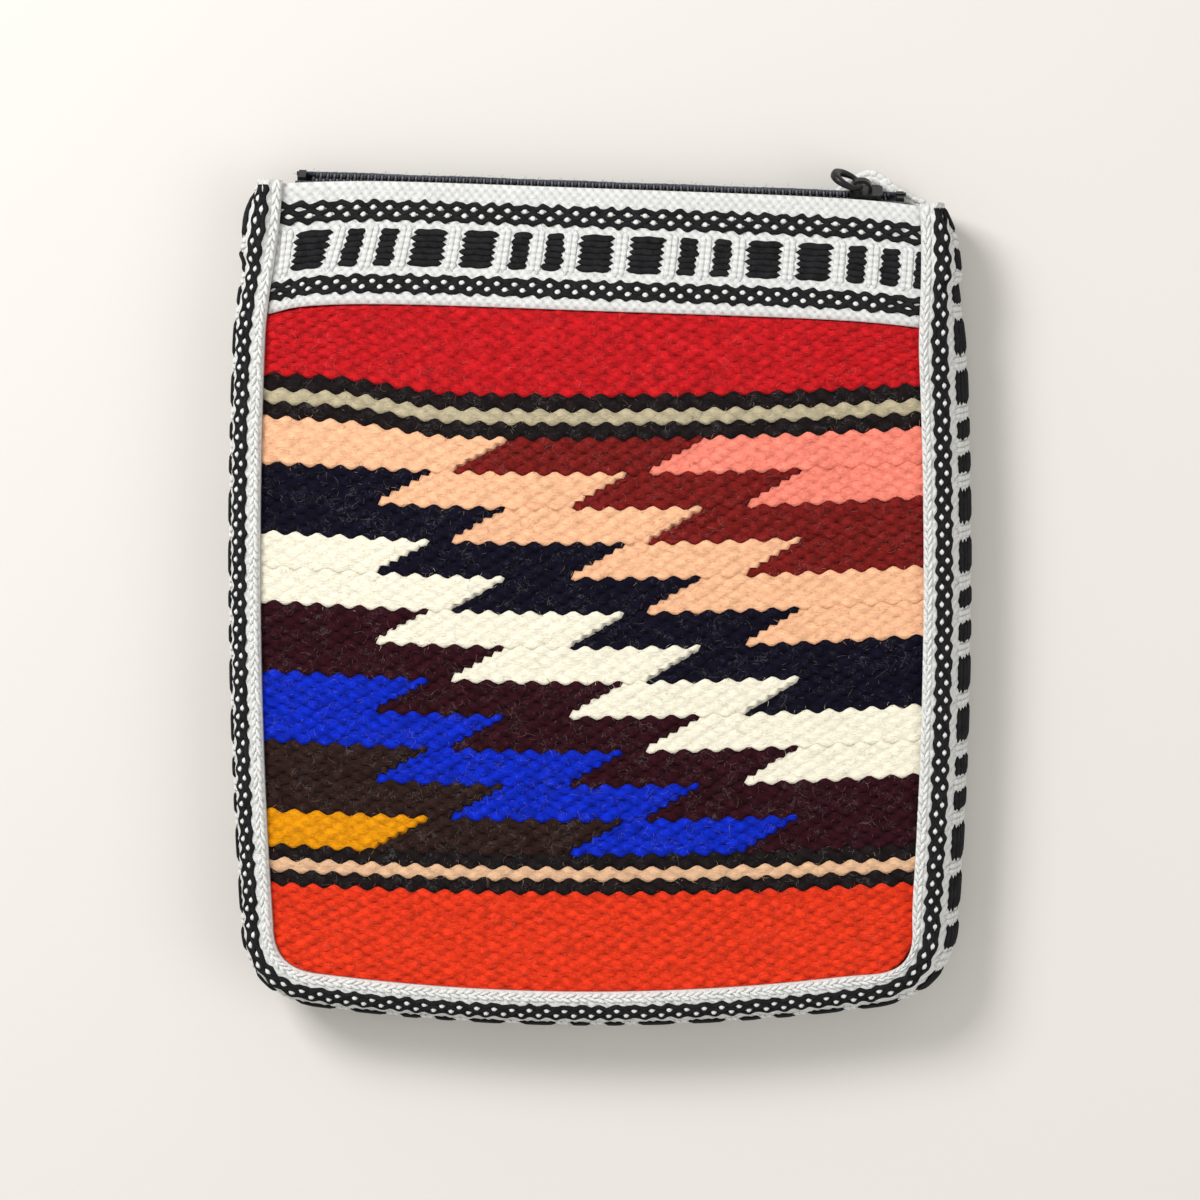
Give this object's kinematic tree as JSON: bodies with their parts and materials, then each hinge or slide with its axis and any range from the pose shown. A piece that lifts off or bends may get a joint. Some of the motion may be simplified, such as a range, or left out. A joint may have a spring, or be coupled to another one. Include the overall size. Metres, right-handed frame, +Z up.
{
  "type": "shoulder bag",
  "caption": "Handwoven wool shoulder bag lying on its back, closed with a zip, with a lightning-pattern front, black and white woven bands and its strap folded under it.",
  "frame": {"origin": "on the surface the bag lies on, under the middle of its bounding box", "axes": "+X to the bag's right as its front is seen, +Y towards the zip, +Z up out of the front"},
  "size_m": [0.2008, 0.2316, 0.0262],
  "materials": {
    "wool_red": "woven wool, matt",
    "wool_black": "woven wool, matt",
    "wool_sage": "woven wool, matt",
    "wool_coral": "woven wool, matt",
    "wool_brick": "woven wool, matt",
    "wool_peach": "woven wool, matt",
    "wool_navy": "woven wool, matt",
    "wool_cream": "woven wool, matt",
    "wool_plum": "woven wool, matt",
    "wool_cobalt": "woven wool, matt",
    "wool_brown": "woven wool, matt",
    "wool_amber": "woven wool, matt",
    "wool_tan": "woven wool, matt",
    "wool_orange": "woven wool, matt",
    "band_white": "warp-faced woven band, matt",
    "band_black": "band yarn, matt",
    "back_cloth": "plain cloth, matt",
    "zip_tape": "woven tape, matt",
    "zip_coil": "nylon",
    "zip_metal": "black enamel"
  },
  "bodies": {
    "bag": {"weft_red": "wool_red", "weft_black_1": "wool_black", "weft_sage": "wool_sage", "weft_black_2": "wool_black", "weft_1_coral": "wool_coral", "weft_2_brick": "wool_brick", "weft_3_peach": "wool_peach", "weft_4_navy": "wool_navy", "weft_5_cream": "wool_cream", "weft_6_plum": "wool_plum", "weft_7_cobalt": "wool_cobalt", "weft_8_brown": "wool_brown", "weft_9_amber": "wool_amber", "weft_black_3": "wool_black", "weft_tan": "wool_tan", "weft_black_4": "wool_black", "weft_orange": "wool_orange", "front_top_band": "band_white", "front_band_block_yarn": "band_black", "front_band_chain_upper": "band_black", "front_band_chain_lower": "band_black", "gusset_band": "band_white", "gusset_block_yarn": "band_black", "gusset_chain_front": "band_black", "gusset_chain_back": "band_black", "back_top_band": "band_white", "back_panel": "back_cloth", "strap": "band_white", "zip_tape_front": "zip_tape", "zip_tape_back": "zip_tape", "zip_coil_front": "zip_coil", "zip_coil_back": "zip_coil", "zip_stop_front": "zip_metal", "zip_stop_back": "zip_metal", "zip_stop_far": "zip_metal"},
    "slider": {"zip_slider": "zip_metal"},
    "pull": {"zip_pull": "zip_metal"}
  },
  "joints": [
    {"name": "zip_slide", "type": "slide", "parent": "bag", "child": "slider", "axis": [0.9994, -0.0358, 0], "range_m": [-0.147, 0.0035]},
    {"name": "pull_swing", "type": "hinge", "parent": "slider", "child": "pull", "pos_m": [0.07067, 0.11095, 0.01477], "axis": [-0.0179, -0.4997, 0.866], "range_deg": [-156, 20]}
  ]
}
